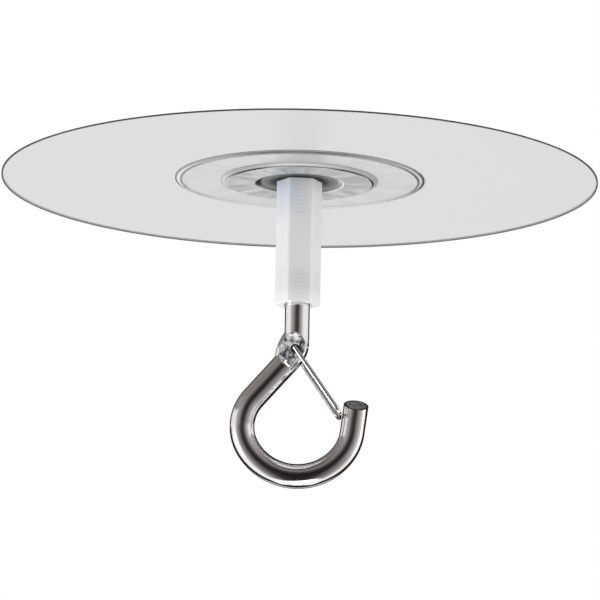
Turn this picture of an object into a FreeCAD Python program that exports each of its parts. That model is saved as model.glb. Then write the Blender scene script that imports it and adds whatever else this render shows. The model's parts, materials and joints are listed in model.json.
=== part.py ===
import FreeCAD
import Part
import math
import os

# A ceiling hook that hangs from a clear self-adhesive disc. All lengths are in millimetres.
# The origin is the centre of the adhesive face that is pressed on the ceiling, +Z is up into the
# ceiling and the hook opens towards +X. Everything hangs below z = 0.
#
# From the ceiling down: a thin gel pad, a clear film disc that is stepped over the flange of a
# pressed steel plate, a stud whose flat head is trapped above that plate, a long hexagonal nylon
# spacer screwed on the stud, and a bent steel rod screwed into the spacer's other end. The rod's
# neck is squeezed flat and drilled for a gate of spring wire, which swings into the bowl.

V = FreeCAD.Vector
DOWN = V(0, 0, -1)
ACROSS = V(0, 1, 0)
AXIS_POINT = V(0, 0, 0)
AXIS_UP = V(0, 0, 1)

# Gel pad and film disc
DISC_D = 120.0
GEL_T = 0.15
GEL_INSET = 0.4
FILM_T = 0.25
FILM_STEP_RUN = 1.5
FILM_HOLE_CLEARANCE = 0.2

# Pressed steel plate
PLATE_T = 0.4
PLATE_FLANGE_D = 47.2
PLATE_DOME_D = 30.2
PLATE_DOME_DROP = 0.75
PLATE_RECESS_D = 16.8
PLATE_STEP_RUN = 1.2
PLATE_STUD_CLEARANCE = 0.15

# Threaded stud
THREAD_ROOT_D = 4.1
THREAD_CREST_D = 4.9
THREAD_TIP_CHAMFER = 0.4
STUD_HEAD_D = 13.0
STUD_HEAD_T = 0.4
STUD_L = 8.2

# Hexagonal spacer
SPACER_FLATS = 8.0
SPACER_L = 25.4
SPACER_TURN_DEG = 4.5
SPACER_EDGE_R = 0.4
SPACER_BORE_CLEARANCE = 0.05
SPACER_BORE_CHAMFER = 0.4

# Bent rod
ROD_D = 5.0
ROD_THREAD_L = 6.5
ROD_PLAIN_IN_BORE = 0.3
ROD_DROP = 9.5
NECK_TURN_DEG = 41.0
NECK_BEND_R = 5.0
BACK_L = 11.1
BOWL_LEFT_R = 8.9
BOWL_LEFT_TURN_DEG = 73.0
BOWL_BOTTOM_R = 11.5
BOWL_BOTTOM_TURN_DEG = 109.0
BOWL_RIGHT_R = 9.7
BOWL_RIGHT_TURN_DEG = 32.0
TIP_L = 5.7
TIP_CUT_DEG = 32.0

# Squeezed neck, where the gate is hinged
NECK_FLAT_T = 3.2
NECK_FLAT_ABOVE_BEND = 2.0
NECK_FLAT_BELOW_BEND = 3.0
NECK_FLAT_TOP_DEG = 24.0
NECK_RAMP = 1.1
NECK_BULGE_W = 5.6
NECK_BULGE_L = 11.0
NECK_BULGE_SHIFT = 1.2
NECK_BULGE_EDGE_R = 1.3

# Gate of spring wire
WIRE_D = 0.9
GATE_L = 16.1
GATE_END_W = 7.4
GATE_CORNER_R = 1.3
GATE_LEG_IN_NECK = 1.2
GATE_SIDE_GAP = 0.12
GATE_REST_GAP = 0.1
PIVOT_X = -0.3
PIVOT_ABOVE_BEND = 0.2
PIVOT_CLEARANCE = 0.05

# Levels and radii that follow from the sizes above
FILM_TOP_Z = -GEL_T
FLANGE_BOTTOM_Z = FILM_TOP_Z - PLATE_T
DOME_BOTTOM_Z = FLANGE_BOTTOM_Z - PLATE_DOME_DROP
STUD_HEAD_BOTTOM_Z = FILM_TOP_Z - STUD_HEAD_T
RECESS_BOTTOM_Z = STUD_HEAD_BOTTOM_Z - PLATE_T
SPACER_TOP_Z = RECESS_BOTTOM_Z
SPACER_BOTTOM_Z = SPACER_TOP_Z - SPACER_L
BORE_R = THREAD_CREST_D / 2 + SPACER_BORE_CLEARANCE
ROD_R = ROD_D / 2
WIRE_R = WIRE_D / 2
ROD_TOP_Z = SPACER_BOTTOM_Z + ROD_PLAIN_IN_BORE
BEND_Z = SPACER_BOTTOM_Z - ROD_DROP


def turned(section_edges):
    """A solid of revolution about the part's axis, from closed section edges in the XZ plane."""
    face = Part.Face(Part.Wire(section_edges))
    return face.revolve(AXIS_POINT, AXIS_UP, 360)


def parallel_line(points, distance):
    """The (r, z) corners of a line that runs beside points, to their left, with mitred corners."""
    moved = []
    last = len(points) - 1
    for i, (r, z) in enumerate(points):
        before = points[max(i - 1, 0)], points[max(i, 1)]
        after = points[min(i, last - 1)], points[min(i + 1, last)]
        normals = []
        for (r0, z0), (r1, z1) in (before, after):
            length = math.hypot(r1 - r0, z1 - z0)
            normals.append((-(z1 - z0) / length, (r1 - r0) / length))
        (ar, az), (br, bz) = normals
        share = distance / (1 + ar * br + az * bz)
        moved.append((r + (ar + br) * share, z + (az + bz) * share))
    return moved


def rounded_line(corners, radii):
    """Edges through the corners, with a tangent arc at each inner corner whose radius isn't 0."""
    edges = []
    start = corners[0]
    for i, radius in enumerate(radii, 1):
        corner = corners[i]
        if radius == 0:
            edges.append(Part.LineSegment(start, corner).toShape())
            start = corner
            continue
        back = (corners[i - 1] - corner).normalize()
        ahead = (corners[i + 1] - corner).normalize()
        half = back.getAngle(ahead) / 2
        reach = radius / math.tan(half)
        middle = (back + ahead).normalize()
        entry = corner + back * reach
        leave = corner + ahead * reach
        top = corner + middle * (radius / math.sin(half) - radius)
        edges.append(Part.LineSegment(start, entry).toShape())
        edges.append(Part.Arc(entry, top, leave).toShape())
        start = leave
    edges.append(Part.LineSegment(start, corners[-1]).toShape())
    return edges


def pressed_sheet(middle_line, thickness):
    """A turned sheet of even thickness, from the (r, z) corners of its middle line."""
    upper = [V(r, 0, z) for r, z in parallel_line(middle_line, thickness / 2)]
    lower = [V(r, 0, z) for r, z in parallel_line(middle_line, -thickness / 2)]
    return turned(Part.makePolygon([*upper, *reversed(lower), upper[0]]).Edges)


def adhesive_pad():
    """Thin disc of clear gel that sticks the film and the plate to the ceiling."""
    return Part.makeCylinder(DISC_D / 2 - GEL_INSET, GEL_T, V(0, 0, 0), DOWN)


def film_disc():
    """Clear film, flat on the gel outside and stepped down over the plate's flange inside."""
    flange_r = PLATE_FLANGE_D / 2
    flat_z = FILM_TOP_Z - FILM_T / 2
    raised_z = FLANGE_BOTTOM_Z - FILM_T / 2
    hole_r = PLATE_DOME_D / 2 + PLATE_STEP_RUN / 2 + FILM_HOLE_CLEARANCE
    step_r = flange_r + FILM_T
    line = [
        (hole_r, raised_z),
        (step_r, raised_z),
        (step_r + FILM_STEP_RUN, flat_z),
        (DISC_D / 2, flat_z),
    ]
    return pressed_sheet(line, FILM_T)


def base_plate():
    """Pressed plate: flat flange, raised dome ring, and a recessed centre under the stud's head."""
    flange_z = FLANGE_BOTTOM_Z + PLATE_T / 2
    dome_z = DOME_BOTTOM_Z + PLATE_T / 2
    recess_z = RECESS_BOTTOM_Z + PLATE_T / 2
    half_run = PLATE_STEP_RUN / 2
    line = [
        (THREAD_CREST_D / 2 + PLATE_STUD_CLEARANCE, recess_z),
        (PLATE_RECESS_D / 2 - half_run, recess_z),
        (PLATE_RECESS_D / 2 + half_run, dome_z),
        (PLATE_DOME_D / 2 - half_run, dome_z),
        (PLATE_DOME_D / 2 + half_run, flange_z),
        (PLATE_FLANGE_D / 2, flange_z),
    ]
    return pressed_sheet(line, PLATE_T)


def thread_core(top_z, bottom_z, chamfer_top, chamfer_bottom):
    """A threaded end at its root diameter, on the part's axis, with one or both ends chamfered."""
    radius = THREAD_ROOT_D / 2
    upper_r = radius - (THREAD_TIP_CHAMFER if chamfer_top else 0)
    lower_r = radius - (THREAD_TIP_CHAMFER if chamfer_bottom else 0)
    outline = [
        V(0, 0, top_z),
        V(upper_r, 0, top_z),
        V(radius, 0, top_z - (radius - upper_r)),
        V(radius, 0, bottom_z + (radius - lower_r)),
        V(lower_r, 0, bottom_z),
        V(0, 0, bottom_z),
    ]
    corners = [p for i, p in enumerate(outline) if i == 0 or p.distanceToPoint(outline[i - 1]) > 1e-6]
    return turned(Part.makePolygon([*corners, corners[0]]).Edges)


def threaded_stud():
    """Stud with a thin flat head, which is trapped between the gel and the plate's centre."""
    head = Part.makeCylinder(STUD_HEAD_D / 2, STUD_HEAD_T, V(0, 0, FILM_TOP_Z), DOWN)
    core = thread_core(FILM_TOP_Z, STUD_HEAD_BOTTOM_Z - STUD_L, False, True)
    return head.fuse(core).removeSplitter()


def hex_spacer():
    """Hexagonal nylon spacer, bored through, with rounded edges and chamfered bore mouths."""
    corner_r = SPACER_FLATS / 2 / math.cos(math.pi / 6)
    corners = []
    for k in range(7):
        angle = math.radians(SPACER_TURN_DEG + 60 * k)
        corners.append(V(corner_r * math.cos(angle), corner_r * math.sin(angle), SPACER_TOP_Z))
    prism = Part.Face(Part.makePolygon(corners)).extrude(DOWN * SPACER_L)
    upright = [e for e in prism.Edges if abs(e.BoundBox.ZLength - SPACER_L) < 1e-6]
    prism = prism.makeFillet(SPACER_EDGE_R, upright)
    bore = Part.makeCylinder(BORE_R, SPACER_L, V(0, 0, SPACER_TOP_Z), DOWN)
    wide_r = BORE_R + SPACER_BORE_CHAMFER
    upper = Part.makeCone(wide_r, BORE_R, SPACER_BORE_CHAMFER, V(0, 0, SPACER_TOP_Z), DOWN)
    lower = Part.makeCone(wide_r, BORE_R, SPACER_BORE_CHAMFER, V(0, 0, SPACER_BOTTOM_Z), AXIS_UP)
    return prism.cut(bore.multiFuse([upper, lower]))


def heading(angle_deg):
    """Unit vector in the XZ plane: 0 is straight down, and a positive angle leans towards -X."""
    angle = math.radians(angle_deg)
    return V(-math.sin(angle), 0, -math.cos(angle))


def rod_path():
    """The rod's centre line: its edges, the end of the tip and the tip's heading in degrees."""
    point = V(0, 0, ROD_TOP_Z)
    angle = 0.0
    reach = NECK_BEND_R * math.tan(math.radians(NECK_TURN_DEG / 2))
    runs = [
        ("line", point.z - BEND_Z - reach, 0.0),
        ("arc", NECK_BEND_R, NECK_TURN_DEG),
        ("line", BACK_L, 0.0),
        ("arc", BOWL_LEFT_R, -BOWL_LEFT_TURN_DEG),
        ("arc", BOWL_BOTTOM_R, -BOWL_BOTTOM_TURN_DEG),
        ("arc", BOWL_RIGHT_R, -BOWL_RIGHT_TURN_DEG),
        ("line", TIP_L, 0.0),
    ]
    edges = []
    for kind, size, turn in runs:
        if kind == "line":
            end = point + heading(angle) * size
            edges.append(Part.LineSegment(point, end).toShape())
        else:
            side = 90 if turn > 0 else -90
            centre = point + heading(angle + side) * size
            middle = centre - heading(angle + turn / 2 + side) * size
            end = centre - heading(angle + turn + side) * size
            edges.append(Part.Arc(point, middle, end).toShape())
            angle += turn
        point = end
    return edges, point, angle


def swept(edges, radius):
    """A round bar along joined edges, closed at both ends and mitred at sharp corners."""
    path = Part.Wire(edges)
    first = path.OrderedEdges[0]
    start = path.OrderedVertexes[0].Point
    tangent = first.tangentAt(first.FirstParameter)
    section = Part.Wire(Part.makeCircle(radius, start, tangent))
    return path.makePipeShell([section], True, True, 1)


def neck_bulge():
    """The metal pushed out inside the bend where the neck is squeezed: an oval with round edges."""
    oval = Part.Ellipse(V(0, 0, 0), NECK_BULGE_L / 2, NECK_BULGE_W / 2).toShape()
    pad = Part.Face(Part.Wire(oval)).extrude(V(0, 0, NECK_FLAT_T))
    pad = pad.makeFillet(NECK_BULGE_EDGE_R, [e for e in pad.Edges if e.BoundBox.ZLength < 1e-6])
    pad.rotate(V(0, 0, 0), V(1, 0, 0), 90)
    pad.rotate(V(0, 0, 0), ACROSS, 90 + NECK_TURN_DEG / 2)
    shift = heading(NECK_TURN_DEG / 2 + 90) * NECK_BULGE_SHIFT
    pad.translate(V(0, NECK_FLAT_T / 2, BEND_Z) + shift)
    return pad


def die_edge(angle_deg, distance, y):
    """The two ends of a die's edge, which lies square to a heading at a distance from the bend."""
    middle = V(0, y, BEND_Z) + heading(angle_deg) * distance
    sideways = heading(angle_deg + 90) * ROD_D
    return [middle - sideways, middle + sideways]


def neck_die(side):
    """What the die presses away on one side of the neck: a flat with a ramp at each end."""
    wires = []
    depth = ROD_R - NECK_FLAT_T / 2
    for steps in (0, 2):
        y = side * (NECK_FLAT_T / 2 + steps * depth)
        upper = die_edge(NECK_FLAT_TOP_DEG, -NECK_FLAT_ABOVE_BEND - steps * NECK_RAMP, y)
        lower = die_edge(NECK_TURN_DEG, NECK_FLAT_BELOW_BEND + steps * NECK_RAMP, y)
        wires.append(Part.makePolygon([*upper, *reversed(lower), upper[0]]))
    return Part.makeLoft(wires, True, True)


def pivot_point():
    """Middle of the gate's hinge line, which runs along Y through the squeezed neck."""
    return V(PIVOT_X, 0, BEND_Z + PIVOT_ABOVE_BEND)


def tip_waste(end, angle_deg):
    """What the slanting cut removes from the tip, whose end face leans towards -Y."""
    axis = heading(angle_deg)
    lean = math.radians(TIP_CUT_DEG)
    normal = axis * math.cos(lean) - ACROSS * math.sin(lean)
    size = 4 * ROD_D
    block = Part.makeBox(size, size, size, V(-size / 2, -size / 2, 0))
    block.Placement = FreeCAD.Placement(end, FreeCAD.Rotation(AXIS_UP, normal)).multiply(block.Placement)
    return block


def hook():
    """The bent rod: threaded top, squeezed and drilled neck, round bowl and slant-cut tip."""
    edges, end, angle = rod_path()
    over = ROD_R * math.tan(math.radians(TIP_CUT_DEG))
    spare_end = end + heading(angle) * (over + ROD_R)
    edges.append(Part.LineSegment(end, spare_end).toShape())
    rod = swept(edges, ROD_R)
    rod = rod.cut(tip_waste(end, angle))
    rod = rod.cut(neck_die(1)).cut(neck_die(-1))
    rod = rod.fuse(neck_bulge()).removeSplitter()
    hole = Part.makeCylinder(WIRE_R + PIVOT_CLEARANCE, ROD_D, pivot_point() - ACROSS * (ROD_D / 2), ACROSS)
    rod = rod.cut(hole)
    core = thread_core(ROD_TOP_Z + ROD_THREAD_L, ROD_TOP_Z, True, False)
    return rod.fuse(core)


def gate_rest_end():
    """Centre of the gate's cross wire at rest, lying against the inner side of the tip."""
    _, end, angle = rod_path()
    upward = heading(angle)
    inward = heading(angle - 90)
    offset = ROD_R + WIRE_R + GATE_REST_GAP
    foot = end + inward * offset
    to_foot = foot - pivot_point()
    along = to_foot.dot(upward)
    below = -along - math.sqrt(along**2 - to_foot.dot(to_foot) + GATE_L**2)
    return foot + upward * below


def gate():
    """Spring wire bent to a tapering loop, with its two ends turned in to the hinge hole."""
    pivot = pivot_point()
    end = gate_rest_end()
    along = (end - pivot).normalize()
    side_y = NECK_FLAT_T / 2 + GATE_SIDE_GAP + WIRE_R
    end_y = GATE_END_W / 2 - WIRE_R
    leg_y = NECK_FLAT_T / 2 - GATE_LEG_IN_NECK
    corners = [
        pivot - ACROSS * leg_y,
        pivot - ACROSS * side_y,
        end - ACROSS * end_y,
        end + ACROSS * end_y,
        pivot + ACROSS * side_y,
        pivot + ACROSS * leg_y,
    ]
    return swept(rounded_line(corners, [0, GATE_CORNER_R, GATE_CORNER_R, 0]), WIRE_R)


NODES = {
    "adhesive_pad": adhesive_pad,
    "film_disc": film_disc,
    "base_plate": base_plate,
    "threaded_stud": threaded_stud,
    "hex_spacer": hex_spacer,
    "hook": hook,
    "gate": gate,
}

os.makedirs("parts", exist_ok=True)
for name, build in NODES.items():
    shape = build()
    box = shape.BoundBox
    print(
        f"{name}: valid {shape.isValid()}, solids {len(shape.Solids)}, volume {shape.Volume:.1f},"
        f" x {box.XMin:.2f} to {box.XMax:.2f}, z {box.ZMin:.2f} to {box.ZMax:.2f}"
    )
    shape.exportStep(f"parts/{name}.step")
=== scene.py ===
import json
import math
from collections import namedtuple

import bmesh
import bpy
from mathutils import Matrix, Vector

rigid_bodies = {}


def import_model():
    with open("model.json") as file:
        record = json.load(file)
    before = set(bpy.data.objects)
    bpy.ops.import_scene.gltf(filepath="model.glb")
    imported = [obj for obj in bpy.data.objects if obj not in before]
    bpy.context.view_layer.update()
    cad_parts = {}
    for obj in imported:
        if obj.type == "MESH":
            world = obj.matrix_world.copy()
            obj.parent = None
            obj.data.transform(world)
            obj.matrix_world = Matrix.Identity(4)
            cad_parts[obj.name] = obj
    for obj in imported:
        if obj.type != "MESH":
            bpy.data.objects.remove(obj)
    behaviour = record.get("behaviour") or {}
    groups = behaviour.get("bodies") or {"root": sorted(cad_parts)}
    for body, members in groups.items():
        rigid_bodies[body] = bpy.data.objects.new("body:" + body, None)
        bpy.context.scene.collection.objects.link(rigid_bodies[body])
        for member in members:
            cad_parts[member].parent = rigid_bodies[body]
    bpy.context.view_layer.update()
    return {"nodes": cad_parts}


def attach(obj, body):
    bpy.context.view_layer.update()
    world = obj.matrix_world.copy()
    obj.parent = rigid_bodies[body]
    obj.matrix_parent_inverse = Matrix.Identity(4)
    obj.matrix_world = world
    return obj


# The looks of the ceiling hook: materials, thread ridges, studio and camera. Lengths are in metres
# and the frame is the CAD's: the ceiling plane is z = 0, +Z is up and the hook opens towards +X.
# Where a place, a colour or a gloss changes, a pair holds the two ends of the change.

# Threads: an M5 coarse ridge, whose root lies just inside the CAD's plain core
THREAD_PITCH = 0.0008
THREAD_ROOT_R = 0.00203
THREAD_CREST_R = 0.00243
THREAD_ROOT_HALF = THREAD_PITCH * 0.42
THREAD_CREST_HALF = THREAD_PITCH * 0.08
THREAD_FADE_TURNS = 0.5
THREAD_STEPS = 36
STUD_THREAD_Z = (-0.0085, -0.00125)
HOOK_THREAD_Z = (-0.02595, -0.01975)

# Bare metals: the smudges in their gloss, and their colour at a glancing angle
SMUDGE_SCALE = 260.0
SMUDGE_DETAIL = 4.0
SMUDGE_GLOSS = 0.08
DARK_EDGE_TINT = (0.0, 0.0, 0.0, 1.0)
PLAIN_EDGE_TINT = (1.0, 1.0, 1.0, 1.0)
STUD_COLOR = (0.72, 0.72, 0.73, 1.0)
STUD_ROUGHNESS = 0.5
WIRE_COLOR = (0.92, 0.92, 0.92, 1.0)
WIRE_ROUGHNESS = 0.2

# Hook: its chrome, and the marks of the tools on its squeezed neck and its cut tip
CHROME_COLORS = ((0.86, 0.845, 0.835, 1.0), (0.78, 0.765, 0.755, 1.0))
CHROME_ROUGHNESS = (0.09, 0.14)
MARK_SCALE = 700.0
MARK_DETAIL = 5.0
MARK_GRAIN = 0.7
MARK_RANGE = (0.38, 0.62)
MARK_STRENGTH = 0.5
MARK_DEPTH = 0.0001
MARKED_EXTRA_ROUGHNESS = 0.35
MARKED_METALLIC = 0.4

# Hook neck: a flat on each side with a ramp above it, their dents painted with dark shade and white
# glints, and painted shade round the gate's wire
NECK_FLAT_Y = 0.0017
NECK_FLAT_SIDEWAYS = (0.80, 0.97)
NECK_RAMP_Z = -0.0328
NECK_RAMP_REACH = 0.0025
NECK_RAMP_MAX_R = 0.00242
DENT_SHADE_AND_GLINT_RANGE = (0.42, 0.58)
NECK_SHADE_AND_GLINT_COLORS = ((0.08, 0.08, 0.10, 1.0), (0.96, 0.96, 0.98, 1.0))
PIVOT_X = -0.0003
PIVOT_Z = -0.03565
PIVOT_SHADE_R = 0.00095
PIVOT_SHADE_GREY = 0.02

# Hook tip: a point on its axis, the axis, and the direction that its cut face looks to
TIP_POINT = (0.01213, 0.0, -0.04676)
TIP_AXIS = (0.1219, 0.0, 0.9925)
TIP_FACE = (0.1034, -0.5299, 0.8417)
TIP_FACE_MATCH = 0.9
TIP_MIN_X = 0.0098
TIP_RIM_R = (0.0018, 0.0023)
TIP_GREYS = (0.20, 0.40)
TIP_RIM_GREY = 0.04

# Plate, film and gel: the normals of their steps and cut edges are less upright than these shares
STEP_UPRIGHT = 0.98
CUT_EDGE_UPRIGHT = 0.5

# Base plate: recess, dome, flange and the steps between them, painted shade in the recess and on its
# wall, darkest close to the spacer, and a painted shade line in the crease
PLATE_RECESS_R = 0.0084
PLATE_DOME_R = 0.0151
PLATE_STEP_R = (PLATE_RECESS_R, 0.0089)
PLATE_STEP_SHADE_GREYS = (0.12, 0.62)
PLATE_CREASE_R = 0.0148
PLATE_CREASE_SHADE_HALF_WIDTH = 0.00012
PLATE_CREASE_SHADE_GREY = 0.22
PLATE_SHADE_R = (0.0045, 0.0075)
PLATE_RECESS_SHADE_GREYS = (0.02, 0.15)
PLATE_DOME_GREYS = (0.35, 0.65)
PLATE_FLANGE_COLORS = ((0.70, 0.68, 0.68, 1.0), (0.80, 0.78, 0.78, 1.0))
PLATE_TOP_GREYS = (0.66, 0.74)
PLATE_TOP_MIN_RISE = 0.2
PLATE_SHADED_EDGE_GREY = 0.1
PLATE_ROUGHNESS = (0.42, 0.22)
PLATE_METALLIC = (0.6, 1.0)
STREAK_SCALE = 6.0
STREAK_STRETCH = 25.0
STREAK_RANGE = (0.25, 0.75)
STREAK_STRENGTH = 0.08
STREAK_DEPTH = 0.0002

# Clear film: its lower face, its step over the plate's rim, and rings of painted shade as (radius,
# grey)
FILM_LOWER_Z = -0.0003
FILM_STEP_R = 0.0248
FILM_STEP_DROP = 0.0004
FILM_LOWER_GREY = 0.96
FILM_SHADE_RINGS = ((0.05985, 0.2), (0.0249, 0.25), (0.0239, 0.40))
FILM_SHADE_RING_HALF_WIDTH = 0.0002
FILM_HOLE_EDGE_GREY = 0.75
FILM_RIM_EDGE_GREY = 0.10
FILM_ROUGHNESS = (0.28, 0.25)
FILM_IOR = 1.3
FILM_FLAT_GLOSS = 0.6
FILM_STEP_GLOSS = 0.3

# Clear gel: tinted on its upper face, by the angle of view and a faint cloud
GEL_MIDDLE_Z = -0.00008
GEL_GREYS = (0.93, 0.70)
GEL_CLOUD_SCALE = 40.0
GEL_CLOUD_SHARE = 0.15
GEL_CLOUD_GREY = 0.8
GEL_EDGE_GREY = 0.2

# Film and gel shrink by this hair, so that their faces and those that they touch don't coincide
CLEAR_GAP = 0.000004

# Nylon spacer: bluish near the ceiling and painted lighter towards +X there, painted white at its lower
# end, painted shade lines of its threads, and clearer round its bore
SPACER_BORE_R = 0.0026
NYLON_HIGH_Z = (-0.011, -0.003)
NYLON_LIT_END_Z = (-0.0225, -0.0262)
NYLON_LIGHT_ACROSS_X = (-0.003, 0.003)
NYLON_COLOR = (0.91, 0.91, 0.92, 1.0)
NYLON_BLUISH_SHADE_TO_LIGHT_COLORS = ((0.77, 0.83, 0.95, 1.0), (0.95, 0.99, 1.0, 1.0))
NYLON_CLOUD_SCALE = 350.0
NYLON_ROUGHNESS = (0.25, 0.40)
NYLON_CLEARNESS = (0.19, 0.09)
NYLON_SCATTER = 0.4
NYLON_SCATTER_DEPTH = 0.001
NYLON_THREAD_SHADE_STRENGTH = 0.06
NYLON_THREAD_SHADE_R = (0.0045, 0.004)

# Camera, from the ellipse of the disc and the scale of the spacer in the photo
CAMERA_TARGET = Vector((0.0005, 0.0, -0.02525))
CAMERA_DISTANCE = 5.5
CAMERA_BELOW_DEG = 13.1
CAMERA_ROLL_DEG = 1.0
VIEW_WIDTH = 0.1205
SENSOR_MM = 36.0
CLIP_START = 0.01
CLIP_END = 50.0

# Floor and background: their glow as light on the object, and where they are seen
FLOOR_HALF_SIDE = 14.0
FLOOR_Z = -2.3
FLOOR_GREY = 0.8
FLOOR_GLOW = (0.35, 0.60)
WORLD_GLOW = (0.55, 1.0)

# Lamps: name, place, size and power. All look at one point on the hook's axis.
LAMPS = (
    ("key", (-2.0, -0.4, -0.4), 1.0, 19.0),
    ("fill", (2.0, -0.2, -0.3), 1.2, 12.0),
    ("below", (0.2, -0.6, -1.6), 0.9, 5.0),
)
LAMP_TARGET = (0.0, 0.0, -0.03)

# Cards that only shiny surfaces see: name, lower and upper elevation in degrees, and brightness
# stops as (azimuth in degrees, grey). Azimuth 0 is towards the camera and grows towards +X.
CARD_DISTANCE = 2.0
CARD_COLUMNS = 24
CARD_ROWS = 12
CARD_DARK = 0.02
LOW_STOPS = (
    (-70, 1.0), (-60, 0.6), (-45, 0.3), (-28, 0.15),
    (-14, 0.03), (0, 0.01), (14, 0.02), (28, 0.14),
)
MIDDLE_STOPS = (
    (-76, 1.0), (-62, 0.75), (-52, 0.41), (-32, 0.32), (-14, 0.08),
    (0, 0.05), (10, 0.05), (20, 0.18), (42, 0.47), (62, 1.0),
)
HIGH_STOPS = (
    (-150, 0.30), (-88, 0.33), (-35, 0.25), (-12, 0.20),
    (12, 0.20), (35, 0.30), (62, 0.50), (130, 0.30),
)
UPPER_STOPS = (
    (-150, 0.30), (-88, 0.33), (-35, 0.15), (0, 0.08),
    (35, 0.20), (62, 0.40), (130, 0.30),
)
TOP_STOPS = ((-150, 0.15), (-30, 0.20), (-10, 0.9), (35, 1.0), (55, 0.20), (130, 0.15))
CARDS = (
    ("front_deep", (-62, -21), LOW_STOPS + ((45, 0.24), (69, 0.42), (90, 1.0))),
    ("front_low", (-21, 11), LOW_STOPS + ((45, 0.30), (69, 0.6), (90, 1.0))),
    ("front_middle", (11, 27), MIDDLE_STOPS),
    ("front_high", (27, 45), HIGH_STOPS),
    ("front_upper", (45, 60), UPPER_STOPS),
    ("front_top", (60, 89), TOP_STOPS),
    ("back", (11, 60), ((130, CARD_DARK), (165, 0.05), (195, 0.05), (230, CARD_DARK))),
    ("back_top", (60, 89), ((130, CARD_DARK), (210, CARD_DARK))),
    ("back_right", (-22, 9), ((152, 0.01), (176, 0.01))),
    ("back_left", (-40, 9), ((184, 1.25), (206, 1.25))),
    ("rim_left", (-62, 10), ((207, CARD_DARK), (244, CARD_DARK))),
    ("rim_right", (-62, 10), ((116, CARD_DARK), (151, CARD_DARK))),
    ("rim_below", (-75, -41), ((150, CARD_DARK), (210, CARD_DARK))),
)

# Darker cards are browner: the shares of red and blue that a nearly black one gains and loses
CARD_RED_GAIN = 0.12
CARD_BLUE_LOSS = 0.03

Place = namedtuple("Place", "vector x y z radius")


def clear_startup_objects():
    for obj in list(bpy.data.objects):
        bpy.data.objects.remove(obj, do_unlink=True)


def grey(value):
    return (value, value, value, 1.0)


class Nodes:
    """Short calls for building one node tree."""

    def __init__(self, tree):
        self.tree = tree
        tree.nodes.clear()

    def add(self, kind, inputs=None, **settings):
        node = self.tree.nodes.new(kind)
        for name, value in settings.items():
            setattr(node, name, value)
        for name, value in (inputs or {}).items():
            self.put(node, name, value)
        return node

    def put(self, node, name, value):
        socket = node.inputs[name]
        if isinstance(value, bpy.types.NodeSocket):
            self.tree.links.new(value, socket)
        else:
            socket.default_value = value

    def math(self, operation, *values):
        node = self.add("ShaderNodeMath", dict(enumerate(values)), operation=operation)
        return node.outputs[0]

    def vector_math(self, operation, *vectors):
        """The result is a vector, but a single value for a dot product or a length."""
        node = self.add("ShaderNodeVectorMath", dict(enumerate(vectors)), operation=operation)
        single = operation in ("DOT_PRODUCT", "LENGTH")
        return node.outputs["Value" if single else "Vector"]

    def component(self, vector, axis):
        return self.add("ShaderNodeSeparateXYZ", {"Vector": vector}).outputs[axis]

    def smooth_step(self, value, ends):
        """0 at the first end and 1 at the second, with a soft change between them."""
        inputs = {"Value": value, "From Min": ends[0], "From Max": ends[1]}
        node = self.add("ShaderNodeMapRange", inputs, interpolation_type="SMOOTHSTEP")
        return node.outputs["Result"]

    def between(self, factor, ends):
        """The first end where the factor is 0, the second where it is 1."""
        return self.math("MULTIPLY_ADD", factor, ends[1] - ends[0], ends[0])

    def mix_color(self, factor, first, second):
        # Inputs 6 and 7 and output 2 are the node's colours, the others are for values and vectors
        node = self.add("ShaderNodeMix", {0: factor, 6: first, 7: second}, data_type="RGBA")
        return node.outputs[2]

    def mix_greys(self, factor, greys):
        return self.mix_color(factor, grey(greys[0]), grey(greys[1]))

    def mix_shader(self, factor, first, second):
        return self.add("ShaderNodeMixShader", {0: factor, 1: first, 2: second}).outputs[0]

    def noise(self, vector, scale, detail=3.0, roughness=0.5):
        inputs = {"Vector": vector, "Scale": scale, "Detail": detail, "Roughness": roughness}
        return self.add("ShaderNodeTexNoise", inputs).outputs["Fac"]

    def normal(self, kind="Normal"):
        """The surface's smooth normal, or its facets' own one, which is called the True Normal."""
        return self.add("ShaderNodeNewGeometry").outputs[kind]

    def transparent(self, color):
        return self.add("ShaderNodeBsdfTransparent", {"Color": color}).outputs[0]

    def principled(self, inputs):
        return self.add("ShaderNodeBsdfPrincipled", inputs).outputs[0]

    def place(self):
        """Object coordinates, as a vector and apart, and the distance from the axis."""
        vector = self.add("ShaderNodeTexCoord").outputs["Object"]
        x, y, z = self.add("ShaderNodeSeparateXYZ", {"Vector": vector}).outputs
        squares = self.math("ADD", self.math("POWER", x, 2.0), self.math("POWER", y, 2.0))
        return Place(vector, x, y, z, self.math("SQRT", squares))

    def tilted(self, upright):
        """1 on faces whose normal is less upright than the given share of +Z or -Z."""
        rise = self.component(self.normal("True Normal"), "Z")
        return self.math("LESS_THAN", self.math("ABSOLUTE", rise), upright)

    def finish(self, shader):
        self.add("ShaderNodeOutputMaterial", {"Surface": shader})


def new_material(name):
    material = bpy.data.materials.new(name)
    material.use_nodes = True
    return material, Nodes(material.node_tree)


def new_object(name, data):
    obj = bpy.data.objects.new(name, data)
    bpy.context.scene.collection.objects.link(obj)
    return obj


def new_mesh_object(name, mesh):
    data = bpy.data.meshes.new(name)
    mesh.to_mesh(data)
    mesh.free()
    return new_object(name, data)


def smudges(n, vector):
    return n.noise(vector, SMUDGE_SCALE, SMUDGE_DETAIL)


def brushed_metal(name, color, roughness, edge_tint):
    """Metal with faint smudges in its gloss. The edge tint is its colour at a glancing angle."""
    material, n = new_material(name)
    cloud = smudges(n, n.place().vector)
    rough = n.math("MULTIPLY_ADD", cloud, SMUDGE_GLOSS, roughness - SMUDGE_GLOSS / 2)
    inputs = {"Base Color": color, "Metallic": 1.0, "Roughness": rough, "Specular Tint": edge_tint}
    n.finish(n.principled(inputs))
    return material


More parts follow.
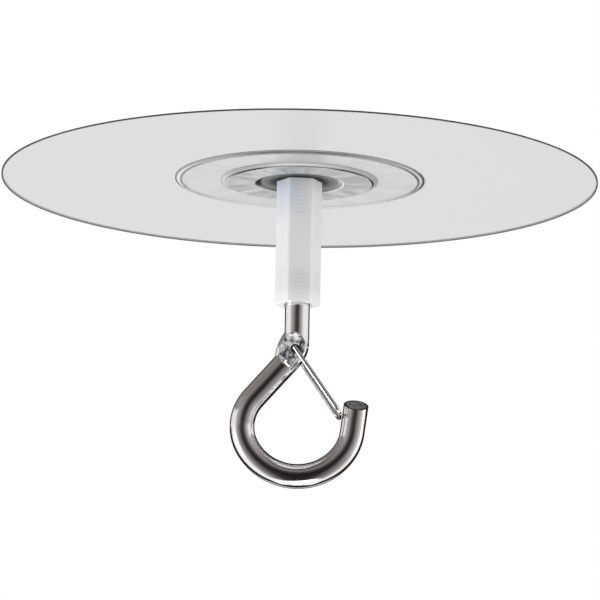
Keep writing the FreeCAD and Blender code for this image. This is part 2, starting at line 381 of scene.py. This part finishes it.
def neck_mask(n, place):
    """1 on the neck's flats and on the ramps above them, which carry the painted shade and glints of
    the dents.
    """
    sideways = n.math("ABSOLUTE", n.component(n.normal(), "Y"))
    flat = n.math("LESS_THAN", n.math("ABSOLUTE", place.y), NECK_FLAT_Y)
    flat = n.math("MULTIPLY", flat, n.smooth_step(sideways, NECK_FLAT_SIDEWAYS))
    in_neck = n.math("COMPARE", place.z, NECK_RAMP_Z, NECK_RAMP_REACH)
    ramp = n.math("MULTIPLY", in_neck, n.math("LESS_THAN", place.radius, NECK_RAMP_MAX_R))
    return n.math("MAXIMUM", flat, ramp)


def pivot_shade_mask(n, place):
    """1 close to the axis on which the gate turns, where shade is painted round the gate's wire."""
    aside = n.math("SUBTRACT", place.x, PIVOT_X)
    above = n.math("SUBTRACT", place.z, PIVOT_Z)
    squares = n.math("ADD", n.math("POWER", aside, 2.0), n.math("POWER", above, 2.0))
    return n.math("LESS_THAN", squares, PIVOT_SHADE_R**2)


def tip_mask(n, place):
    """1 on the cut face of the tip."""
    facing = n.math("GREATER_THAN", n.vector_math("DOT_PRODUCT", n.normal(), TIP_FACE), TIP_FACE_MATCH)
    return n.math("MULTIPLY", facing, n.math("GREATER_THAN", place.x, TIP_MIN_X))


def tip_rim_mask(n, place):
    """1 towards the bar's surface, 0 near the axis of the tip."""
    from_tip = n.vector_math("SUBTRACT", place.vector, TIP_POINT)
    from_axis = n.vector_math("LENGTH", n.vector_math("CROSS_PRODUCT", from_tip, TIP_AXIS))
    return n.smooth_step(from_axis, TIP_RIM_R)


def hook_chrome():
    """Bright chrome, with dented flats where the neck was squeezed, painted near-black and white for
    their shade and glints and with painted shade round the gate's wire, and a dark face on the tip.
    """
    material, n = new_material("hook_chrome")
    place = n.place()
    flat = neck_mask(n, place)
    tip = tip_mask(n, place)
    cloud = smudges(n, place.vector)
    grain = n.noise(place.vector, MARK_SCALE, MARK_DETAIL, MARK_GRAIN)
    marks = n.smooth_step(grain, MARK_RANGE)
    # Painted shade and glints: the flats and the ramp above them are mottled near-black and near-white
    # to stand for the light on their dents
    neck_shade_and_glints = n.mix_color(n.smooth_step(grain, DENT_SHADE_AND_GLINT_RANGE), *NECK_SHADE_AND_GLINT_COLORS)
    # Painted shade: a near-black disc round the gate's pivot stands for the shadow in the gap round its
    # wire
    neck_shade_and_glints = n.mix_color(pivot_shade_mask(n, place), neck_shade_and_glints, grey(PIVOT_SHADE_GREY))
    tip_color = n.mix_color(tip_rim_mask(n, place), n.mix_greys(marks, TIP_GREYS), grey(TIP_RIM_GREY))
    color = n.mix_color(flat, n.mix_color(cloud, *CHROME_COLORS), neck_shade_and_glints)
    color = n.mix_color(tip, color, tip_color)

    marked = n.math("MAXIMUM", flat, tip)
    rough = n.math("MULTIPLY_ADD", marked, MARKED_EXTRA_ROUGHNESS, n.between(cloud, CHROME_ROUGHNESS))
    relief = {"Strength": MARK_STRENGTH, "Distance": MARK_DEPTH}
    relief["Height"] = n.math("MULTIPLY", marks, marked)
    inputs = {"Base Color": color, "Roughness": rough}
    inputs["Normal"] = n.add("ShaderNodeBump", relief).outputs[0]
    inputs["Metallic"] = n.between(marked, (1.0, MARKED_METALLIC))
    inputs["Specular Tint"] = DARK_EDGE_TINT
    n.finish(n.principled(inputs))
    return material


def plate_streaks(n, place):
    """A soft pattern of streaks that run out from the centre."""
    turn = n.math("ARCTAN2", place.y, place.x)
    around = {"X": n.math("COSINE", turn), "Y": n.math("SINE", turn)}
    around["Z"] = n.math("MULTIPLY", place.radius, STREAK_STRETCH)
    pattern = n.noise(n.add("ShaderNodeCombineXYZ", around).outputs[0], STREAK_SCALE)
    return n.smooth_step(pattern, STREAK_RANGE)


def plate_color(n, radius, streaks, shade, step, top):
    """Recess with its painted shade, dome and flange from the centre out, then the steps with painted
    shade on the recess's wall, the crease's painted shade line and the upper side.
    """
    # Painted shade: the recess is near-black close to the spacer and dark grey further out
    color = n.mix_greys(shade, PLATE_RECESS_SHADE_GREYS)
    dome = n.mix_greys(streaks, PLATE_DOME_GREYS)
    color = n.mix_color(n.math("GREATER_THAN", radius, PLATE_RECESS_R), color, dome)
    flange = n.mix_color(streaks, *PLATE_FLANGE_COLORS)
    color = n.mix_color(n.math("GREATER_THAN", radius, PLATE_DOME_R), color, flange)
    # Painted shade: the recess's wall is dark, the dome's wall lighter
    color = n.mix_color(step, color, n.mix_greys(n.smooth_step(radius, PLATE_STEP_R), PLATE_STEP_SHADE_GREYS))
    # Painted shade: a thin dark line in the crease at the foot of the dome's wall
    crease = n.math("COMPARE", radius, PLATE_CREASE_R, PLATE_CREASE_SHADE_HALF_WIDTH)
    color = n.mix_color(crease, color, grey(PLATE_CREASE_SHADE_GREY))
    return n.mix_color(top, color, n.mix_greys(streaks, PLATE_TOP_GREYS))


def plate_steel():
    """Pressed plate: dull flats with streaks, glossier steps, and painted shade that darkens the recess
    and its gloss round the spacer.
    """
    material, n = new_material("plate_steel")
    place = n.place()
    facet = n.normal("True Normal")
    streaks = plate_streaks(n, place)
    shade = n.smooth_step(place.radius, PLATE_SHADE_R)
    step = n.tilted(STEP_UPRIGHT)
    top = n.math("GREATER_THAN", n.component(facet, "Z"), PLATE_TOP_MIN_RISE)
    color = plate_color(n, place.radius, streaks, shade, step, top)
    glossy = n.math("MULTIPLY", step, n.math("LESS_THAN", place.radius, PLATE_CREASE_R))
    relief = {"Strength": STREAK_STRENGTH, "Distance": STREAK_DEPTH, "Height": streaks, "Normal": facet}
    inputs = {"Base Color": color}
    inputs["Normal"] = n.add("ShaderNodeBump", relief).outputs[0]
    inputs["Metallic"] = n.between(glossy, PLATE_METALLIC)
    inputs["Roughness"] = n.between(glossy, PLATE_ROUGHNESS)
    # Painted shade in the gloss: round the spacer the recess reflects darker at a glancing angle
    lit = n.math("MAXIMUM", shade, top)
    inputs["Specular Tint"] = n.mix_color(lit, grey(PLATE_SHADED_EDGE_GREY), PLAIN_EDGE_TINT)
    n.finish(n.principled(inputs))
    return material


def film_tint(n, radius, lower, edge):
    """What the film lets through: nearly all, and less on its rings of painted shade and on its cut
    edges.
    """
    tint = n.mix_greys(lower, (1.0, FILM_LOWER_GREY))
    # Painted shade: thin dark rings near the film's step and near its rim
    for ring, shade in FILM_SHADE_RINGS:
        tint = n.mix_color(n.math("COMPARE", radius, ring, FILM_SHADE_RING_HALF_WIDTH), tint, grey(shade))
    outer = n.math("GREATER_THAN", radius, FILM_STEP_R)
    return n.mix_color(edge, tint, n.mix_greys(outer, (FILM_HOLE_EDGE_GREY, FILM_RIM_EDGE_GREY)))


def clear_film():
    """Clear film: faintly tinted, with rings of painted shade and a dark rim, and glossy from outside.
    """
    material, n = new_material("clear_film")
    place = n.place()
    drop = n.math("MULTIPLY", n.math("LESS_THAN", place.radius, FILM_STEP_R), FILM_STEP_DROP)
    lower = n.math("LESS_THAN", n.math("ADD", place.z, drop), FILM_LOWER_Z)
    edge = n.tilted(CUT_EDGE_UPRIGHT)
    through = n.transparent(film_tint(n, place.radius, lower, edge))
    step = n.math("SUBTRACT", n.tilted(STEP_UPRIGHT), edge)
    facet = n.normal("True Normal")
    rough = n.between(step, FILM_ROUGHNESS)
    shine = n.add("ShaderNodeBsdfGlossy", {"Roughness": rough, "Normal": facet})
    mirror = n.add("ShaderNodeFresnel", {"IOR": FILM_IOR, "Normal": facet}).outputs[0]
    flat_gloss = n.math("MULTIPLY", n.math("MULTIPLY", mirror, lower), FILM_FLAT_GLOSS)
    gloss = n.math("MAXIMUM", flat_gloss, n.math("MULTIPLY", step, FILM_STEP_GLOSS))
    outside = n.math("SUBTRACT", 1.0, n.add("ShaderNodeNewGeometry").outputs["Backfacing"])
    n.finish(n.mix_shader(n.math("MULTIPLY", gloss, outside), through, shine.outputs[0]))
    return material


def clear_gel():
    """Soft gel between the film and the ceiling: clear from below, greyer when seen along it."""
    material, n = new_material("clear_gel")
    place = n.place()
    upper = n.math("GREATER_THAN", place.z, GEL_MIDDLE_Z)
    along = n.add("ShaderNodeLayerWeight", {"Normal": n.normal("True Normal")})
    pale = n.mix_greys(along.outputs["Facing"], GEL_GREYS)
    cloud = n.math("MULTIPLY", n.noise(place.vector, GEL_CLOUD_SCALE), GEL_CLOUD_SHARE)
    pale = n.mix_color(cloud, pale, grey(GEL_CLOUD_GREY))
    tint = n.mix_color(upper, grey(1.0), pale)
    tint = n.mix_color(n.tilted(CUT_EDGE_UPRIGHT), tint, grey(GEL_EDGE_GREY))
    n.finish(n.transparent(tint))
    return material


def thread_shade_lines(n, place):
    """Painted shade of the threads behind the wall: soft helical lines at the heights of the two
    threads, which fade out towards the faces.
    """
    turn = n.math("ARCTAN2", place.y, place.x)
    phase = n.math("SUBTRACT", n.math("MULTIPLY", place.z, 2 * math.pi / THREAD_PITCH), turn)
    beside_stud = n.math("GREATER_THAN", place.z, STUD_THREAD_Z[0])
    beside_hook = n.math("LESS_THAN", place.z, HOOK_THREAD_Z[1])
    lines = n.smooth_step(n.math("SINE", phase), (-1.0, 1.0))
    lines = n.math("MULTIPLY", lines, n.math("MAXIMUM", beside_stud, beside_hook))
    return n.math("MULTIPLY", lines, n.smooth_step(place.radius, NYLON_THREAD_SHADE_R))


def white_nylon():
    """Milky nylon, bluish near the ceiling and painted lighter towards +X there, painted white at its
    lower end; its clear bore lets the threads show faintly, with painted shade lines over them.
    """
    material, n = new_material("white_nylon")
    place = n.place()
    low = n.smooth_step(place.z, NYLON_LIT_END_Z)
    # Painted light: near the ceiling the nylon is darker and bluer towards -X, lighter towards +X
    bluish = n.mix_color(n.smooth_step(place.x, NYLON_LIGHT_ACROSS_X), *NYLON_BLUISH_SHADE_TO_LIGHT_COLORS)
    color = n.mix_color(n.smooth_step(place.z, NYLON_HIGH_Z), NYLON_COLOR, bluish)
    # Painted light: the lower end is whitened
    color = n.mix_color(low, color, grey(1.0))
    # Painted shade: dark helical lines where the threads lie behind the milky wall
    lines = n.math("MULTIPLY", thread_shade_lines(n, place), NYLON_THREAD_SHADE_STRENGTH)
    color = n.mix_color(lines, color, grey(0.0))
    rough = n.between(n.noise(place.vector, NYLON_CLOUD_SCALE), NYLON_ROUGHNESS)
    inputs = {"Base Color": color, "Roughness": rough, "Subsurface Weight": NYLON_SCATTER}
    inputs["Subsurface Radius"] = (1.0, 1.0, 1.0)
    inputs["Subsurface Scale"] = NYLON_SCATTER_DEPTH
    in_bore = n.math("LESS_THAN", place.radius, SPACER_BORE_R)
    clear = n.math("MAXIMUM", in_bore, n.between(low, NYLON_CLEARNESS))
    n.finish(n.mix_shader(clear, n.principled(inputs), n.transparent(grey(1.0))))
    return material


def thread_ridge(name, bottom, top):
    """A helical ridge of V section round the part's axis, which fades into the root at its ends."""
    count = int((top - bottom) / THREAD_PITCH * THREAD_STEPS)
    mesh = bmesh.new()
    rings = []
    for i in range(count + 1):
        angle = 2 * math.pi * i / THREAD_STEPS
        rise = bottom + THREAD_PITCH * i / THREAD_STEPS
        turns_to_end = min(i, count - i) / THREAD_STEPS
        fade = min(1.0, turns_to_end / THREAD_FADE_TURNS)
        crest = THREAD_ROOT_R + (THREAD_CREST_R - THREAD_ROOT_R) * fade
        section = (
            (THREAD_ROOT_R, -THREAD_ROOT_HALF),
            (crest, -THREAD_CREST_HALF),
            (crest, THREAD_CREST_HALF),
            (THREAD_ROOT_R, THREAD_ROOT_HALF),
        )
        ring = []
        for radius, above in section:
            point = (radius * math.cos(angle), radius * math.sin(angle), rise + above)
            ring.append(mesh.verts.new(point))
        rings.append(ring)
    for a, b in zip(rings, rings[1:]):
        for k in range(len(a)):
            m = (k + 1) % len(a)
            mesh.faces.new((a[k], b[k], b[m], a[m]))
    mesh.faces.new(rings[0])
    mesh.faces.new(rings[-1][::-1])
    bmesh.ops.recalc_face_normals(mesh, faces=mesh.faces)
    return new_mesh_object(name, mesh)


def add_threads(stud_material, hook_material):
    """The ridges that the CAD leaves out, on the stud and on the hook's shank."""
    for name, span, material, slot in (
        ("stud_thread", STUD_THREAD_Z, stud_material, "stud_steel"),
        ("hook_thread", HOOK_THREAD_Z, hook_material, "hook_chrome"),
    ):
        ridge = thread_ridge(name, *span)
        ridge.data.materials.append(material)
        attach(ridge, "mount")


def use_material(node, material):
    for slot in node.material_slots:
        slot.material = material


def hold_apart(node):
    """Shrinks a clear node by CLEAR_GAP on every side."""
    gap = node.modifiers.new("gap", "DISPLACE")
    gap.mid_level = 0.0
    gap.strength = -CLEAR_GAP


def card_point(turn, lift):
    """A place on the sphere of the cards, from an azimuth and an elevation in degrees."""
    turn = math.radians(turn)
    lift = math.radians(lift)
    level = math.cos(lift)
    return CARD_DISTANCE * Vector((math.sin(turn) * level, -math.cos(turn) * level, math.sin(lift)))


def card_mesh(azimuth, elevation):
    """A patch of the sphere. Its UV map runs from 0 to 1 along the azimuth and the elevation."""
    mesh = bmesh.new()
    grid = []
    for i in range(CARD_COLUMNS + 1):
        turn = azimuth[0] + (azimuth[1] - azimuth[0]) * i / CARD_COLUMNS
        column = []
        for k in range(CARD_ROWS + 1):
            lift = elevation[0] + (elevation[1] - elevation[0]) * k / CARD_ROWS
            column.append(mesh.verts.new(card_point(turn, lift)))
        grid.append(column)
    layer = mesh.loops.layers.uv.new("across")
    for i in range(CARD_COLUMNS):
        for k in range(CARD_ROWS):
            spots = ((i, k), (i + 1, k), (i + 1, k + 1), (i, k + 1))
            face = mesh.faces.new([grid[a][b] for a, b in spots])
            for loop, (a, b) in zip(face.loops, spots):
                loop[layer].uv = (a / CARD_COLUMNS, b / CARD_ROWS)
    return mesh


def card_color(value):
    """A grey, the darker ones a little brown."""
    dark = 1 - value
    return (value * (1 + CARD_RED_GAIN * dark), value, value * (1 - CARD_BLUE_LOSS * dark), 1.0)


def card_glow(name, azimuth, stops):
    """Light that changes along the azimuth as the stops say."""
    material, n = new_material(name)
    across = n.component(n.add("ShaderNodeTexCoord").outputs["UV"], "X")
    ramp = n.add("ShaderNodeValToRGB", {"Fac": across})
    points = ramp.color_ramp.elements
    while len(points) < len(stops):
        points.new(0.5)
    for point, (turn, value) in zip(points, stops):
        point.position = (turn - azimuth[0]) / (azimuth[1] - azimuth[0])
        point.color = card_color(value)
    n.finish(n.add("ShaderNodeEmission", {"Color": ramp.outputs["Color"]}).outputs[0])
    return material


def glow_card(name, elevation, stops):
    """A curved card round the object, seen only in its shiny surfaces."""
    azimuth = (stops[0][0], stops[-1][0])
    obj = new_mesh_object(name, card_mesh(azimuth, elevation))
    obj.data.materials.append(card_glow(name, azimuth, stops))
    obj.visible_camera = False
    obj.visible_diffuse = False
    obj.visible_transmission = False
    obj.visible_volume_scatter = False
    obj.visible_shadow = False


def seen(n):
    """1 for the rays of the camera and of shiny and clear surfaces, 0 for those that give light."""
    path = n.add("ShaderNodeLightPath")
    either = n.math("MAXIMUM", path.outputs["Is Camera Ray"], path.outputs["Is Glossy Ray"])
    return n.math("MAXIMUM", either, path.outputs["Is Transmission Ray"])


def floor():
    """Pale floor far below the object, white where nothing shades it and clear from underneath."""
    side = FLOOR_HALF_SIDE
    corners = [(x, y, FLOOR_Z) for x, y in ((-side, -side), (side, -side), (side, side), (-side, side))]
    data = bpy.data.meshes.new("floor")
    data.from_pydata(corners, [], [range(len(corners))])
    obj = new_object("floor", data)
    material, n = new_material("floor")
    matte = n.add("ShaderNodeBsdfDiffuse", {"Color": grey(FLOOR_GREY)})
    strength = n.between(seen(n), FLOOR_GLOW)
    glow = n.add("ShaderNodeEmission", {"Color": grey(1.0), "Strength": strength})
    pale = n.add("ShaderNodeAddShader", {0: matte.outputs[0], 1: glow.outputs[0]})
    underneath = n.add("ShaderNodeNewGeometry").outputs["Backfacing"]
    n.finish(n.mix_shader(underneath, pale.outputs[0], n.transparent(grey(1.0))))
    data.materials.append(material)


def world():
    """White for the rays that see the background, and softer for the light it gives."""
    scene_world = bpy.data.worlds.new("studio")
    bpy.context.scene.world = scene_world
    scene_world.use_nodes = True
    n = Nodes(scene_world.node_tree)
    strength = n.between(seen(n), WORLD_GLOW)
    back = n.add("ShaderNodeBackground", {"Color": grey(1.0), "Strength": strength})
    n.add("ShaderNodeOutputWorld", {"Surface": back.outputs[0]})


def lamp(name, place, size, power):
    data = bpy.data.lights.new(name, "AREA")
    data.shape = "DISK"
    data.size = size
    data.energy = power
    obj = new_object(name, data)
    obj.location = place
    ahead = Vector(LAMP_TARGET) - Vector(place)
    obj.rotation_euler = ahead.to_track_quat("-Z", "Y").to_euler()


def studio():
    world()
    floor()
    for settings in LAMPS:
        lamp(*settings)
    for settings in CARDS:
        glow_card(*settings)


def camera():
    """A long lens below the ceiling, rolled by a degree as the photo is."""
    tilt = math.radians(CAMERA_BELOW_DEG)
    roll = math.radians(CAMERA_ROLL_DEG)
    ahead = Vector((0, math.cos(tilt), math.sin(tilt)))
    level_up = Vector((0, -math.sin(tilt), math.cos(tilt)))
    level_right = Vector((1, 0, 0))
    up = level_up * math.cos(roll) - level_right * math.sin(roll)
    right = level_right * math.cos(roll) + level_up * math.sin(roll)
    data = bpy.data.cameras.new("camera")
    data.sensor_width = SENSOR_MM
    data.lens = SENSOR_MM * CAMERA_DISTANCE / VIEW_WIDTH
    data.clip_start = CLIP_START
    data.clip_end = CLIP_END
    obj = new_object("camera", data)
    turn = Matrix((right, up, -ahead)).transposed().to_4x4()
    obj.matrix_world = Matrix.Translation(CAMERA_TARGET - ahead * CAMERA_DISTANCE) @ turn
    bpy.context.scene.camera = obj


clear_startup_objects()
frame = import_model()

nodes = frame["nodes"]
chrome = hook_chrome()
stud = brushed_metal("stud_steel", STUD_COLOR, STUD_ROUGHNESS, PLAIN_EDGE_TINT)
use_material(nodes["adhesive_pad"], clear_gel())
use_material(nodes["film_disc"], clear_film())
use_material(nodes["base_plate"], plate_steel())
use_material(nodes["threaded_stud"], stud)
use_material(nodes["hex_spacer"], white_nylon())
use_material(nodes["hook"], chrome)
use_material(nodes["gate"], brushed_metal("gate_wire", WIRE_COLOR, WIRE_ROUGHNESS, DARK_EDGE_TINT))
hold_apart(nodes["adhesive_pad"])
hold_apart(nodes["film_disc"])
add_threads(stud, chrome)

studio()
camera()
bpy.context.scene.view_settings.view_transform = "Standard"
